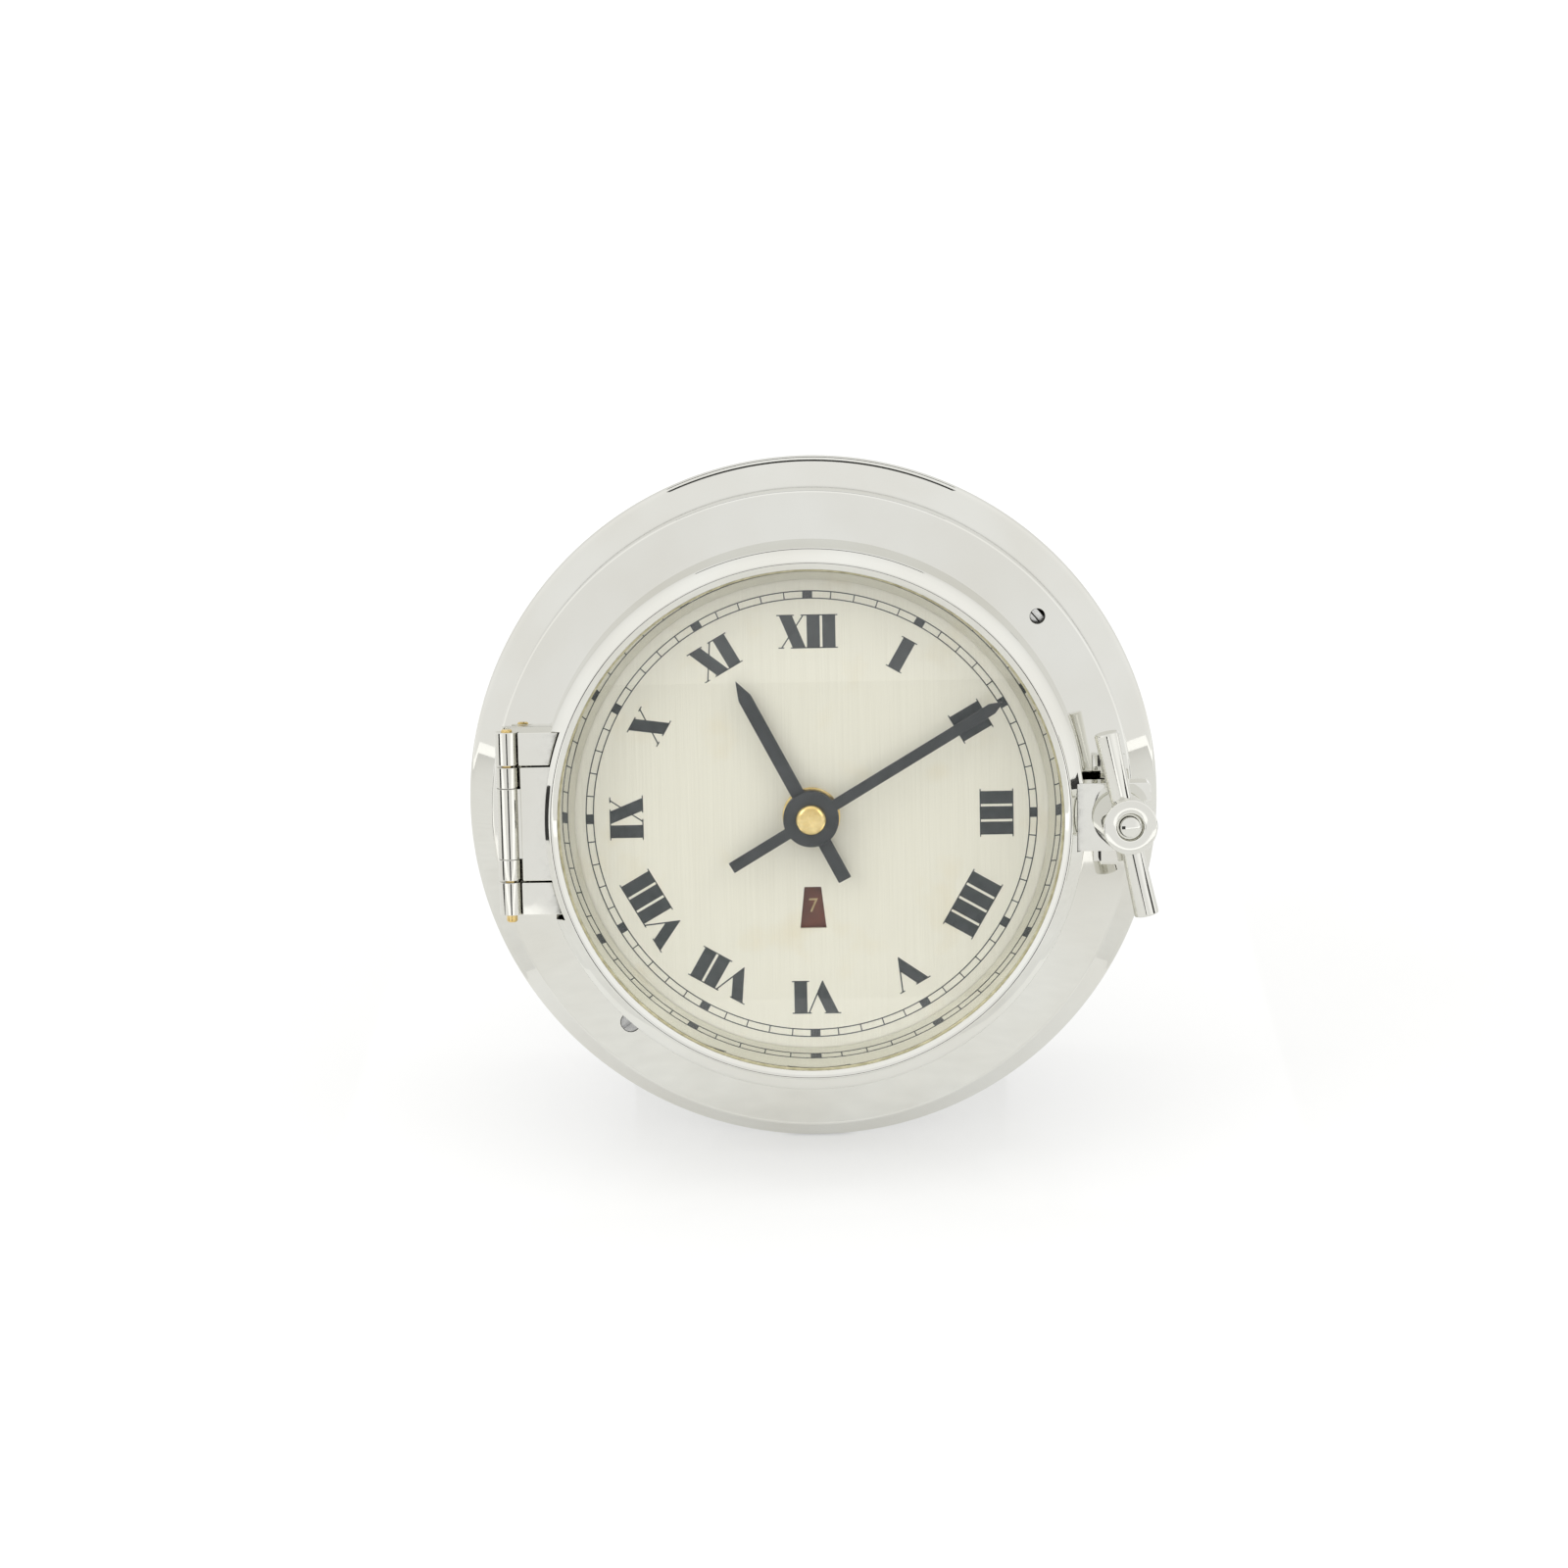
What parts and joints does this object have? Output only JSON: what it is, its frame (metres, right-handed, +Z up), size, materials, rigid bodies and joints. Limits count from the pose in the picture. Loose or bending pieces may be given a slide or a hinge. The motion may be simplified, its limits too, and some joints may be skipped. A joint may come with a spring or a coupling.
{
  "type": "porthole desk clock",
  "caption": "Round desk clock shaped like a ship's porthole: flanged frame, hinged glazed door with a T-handled clamp, Roman dial with two hands and a date window.",
  "frame": {"origin": "centre of the footprint box, at the level the clock stands on", "axes": "+Z up, the dial faces -Y and leans back 10 degrees, +X to the right of someone reading the dial"},
  "size_m": [0.126, 0.0916, 0.1243],
  "materials": {
    "plated_metal": "polished",
    "case_metal": "satin",
    "screw_steel": "brushed",
    "pin_brass": "polished",
    "movement_brass": "satin",
    "rubber": "matte",
    "gasket": "matte",
    "glass": "clear",
    "dial_silver": "vertical brushed",
    "hand_black": "satin",
    "date_maroon": "satin",
    "coil_copper": "enamelled wire",
    "core_iron": "plain",
    "plastic_black": "moulded",
    "battery_jacket": "plain jacket",
    "contact_steel": "spring steel"
  },
  "bodies": {
    "case": {"frame": "plated_metal", "frame_screw": "screw_steel", "door_seal": "rubber", "hinge_bracket": "plated_metal", "hinge_pin": "pin_brass", "clamp_bracket": "plated_metal", "case_drum": "case_metal", "front_ring": "case_metal", "rear_ring": "case_metal", "back_cover": "case_metal", "back_cover_screws": "screw_steel", "rear_feet": "case_metal", "foot_pads": "rubber", "foot_screws": "screw_steel", "dial": "dial_silver", "dial_washer": "pin_brass", "movement_front_plate": "movement_brass", "plate_screws": "screw_steel", "movement_pillars": "movement_brass", "movement_back_plate": "movement_brass", "pillar_screws": "screw_steel", "centre_bush": "movement_brass", "minute_wheel_post": "screw_steel", "date_guide": "movement_brass", "coil_core": "core_iron", "drive_coil": "coil_copper", "coil_cheeks": "plastic_black", "battery": "battery_jacket", "battery_contacts": "contact_steel", "battery_tray": "plastic_black"},
    "door": {"door_ring": "plated_metal", "door_glass": "glass", "glass_gasket": "gasket", "glass_retainer": "plated_metal", "rehaut": "plated_metal", "door_hinge_leaf": "plated_metal", "hinge_bushes": "plated_metal", "door_lug": "plated_metal"},
    "clamp_slide": {"clamp_washer": "plated_metal"},
    "clamp_handle": {"clamp_boss": "plated_metal", "clamp_spindle": "plated_metal", "clamp_arms": "plated_metal"},
    "minute_train": {"minute_hand": "hand_black", "hand_nut": "pin_brass", "minute_arbor": "screw_steel", "setting_knob": "movement_brass"},
    "hour_train": {"hour_hand": "hand_black", "hour_wheel": "movement_brass"},
    "minute_wheel_body": {"minute_wheel": "movement_brass"},
    "date_ring_body": {"date_ring": "date_maroon"}
  },
  "joints": [
    {"name": "door_swing", "type": "hinge", "parent": "case", "child": "door", "pos_m": [-0.0537, -0.02869, 0.06605], "axis": [0, -0.1736, -0.9848], "range_deg": [0, 115]},
    {"name": "clamp_travel", "type": "slide", "parent": "door", "child": "clamp_slide", "axis": [0.1132, -0.9785, 0.1725], "range_m": [0, 0.0024]},
    {"name": "clamp_turn", "type": "hinge", "parent": "clamp_slide", "child": "clamp_handle", "pos_m": [0.0542, -0.03302, 0.06681], "axis": [0.1132, -0.9785, 0.1725], "range_deg": [0, 1080]},
    {"name": "minute_hand_turn", "type": "hinge", "parent": "case", "child": "minute_train", "pos_m": [0, -0.02229, 0.06492], "axis": [0, 0.9848, -0.1736], "continuous": true},
    {"name": "hour_hand_turn", "type": "hinge", "parent": "case", "child": "hour_train", "pos_m": [0, -0.02229, 0.06492], "axis": [0, 0.9848, -0.1736], "continuous": true},
    {"name": "minute_wheel_turn", "type": "hinge", "parent": "case", "child": "minute_wheel_body", "pos_m": [0, -0.02137, 0.07012], "axis": [0, 0.9848, -0.1736], "continuous": true},
    {"name": "date_ring_turn", "type": "hinge", "parent": "case", "child": "date_ring_body", "pos_m": [0, -0.02229, 0.06492], "axis": [0, 0.9848, -0.1736], "continuous": true}
  ],
  "couplings": [
    {"joint": "clamp_travel", "follows": "clamp_turn", "m_per_rad": 0.00012732},
    {"joint": "hour_hand_turn", "follows": "minute_hand_turn", "ratio": 0.083333},
    {"joint": "minute_wheel_turn", "follows": "minute_hand_turn", "ratio": -0.33333},
    {"joint": "date_ring_turn", "follows": "minute_hand_turn", "ratio": 0.0013441}
  ]
}
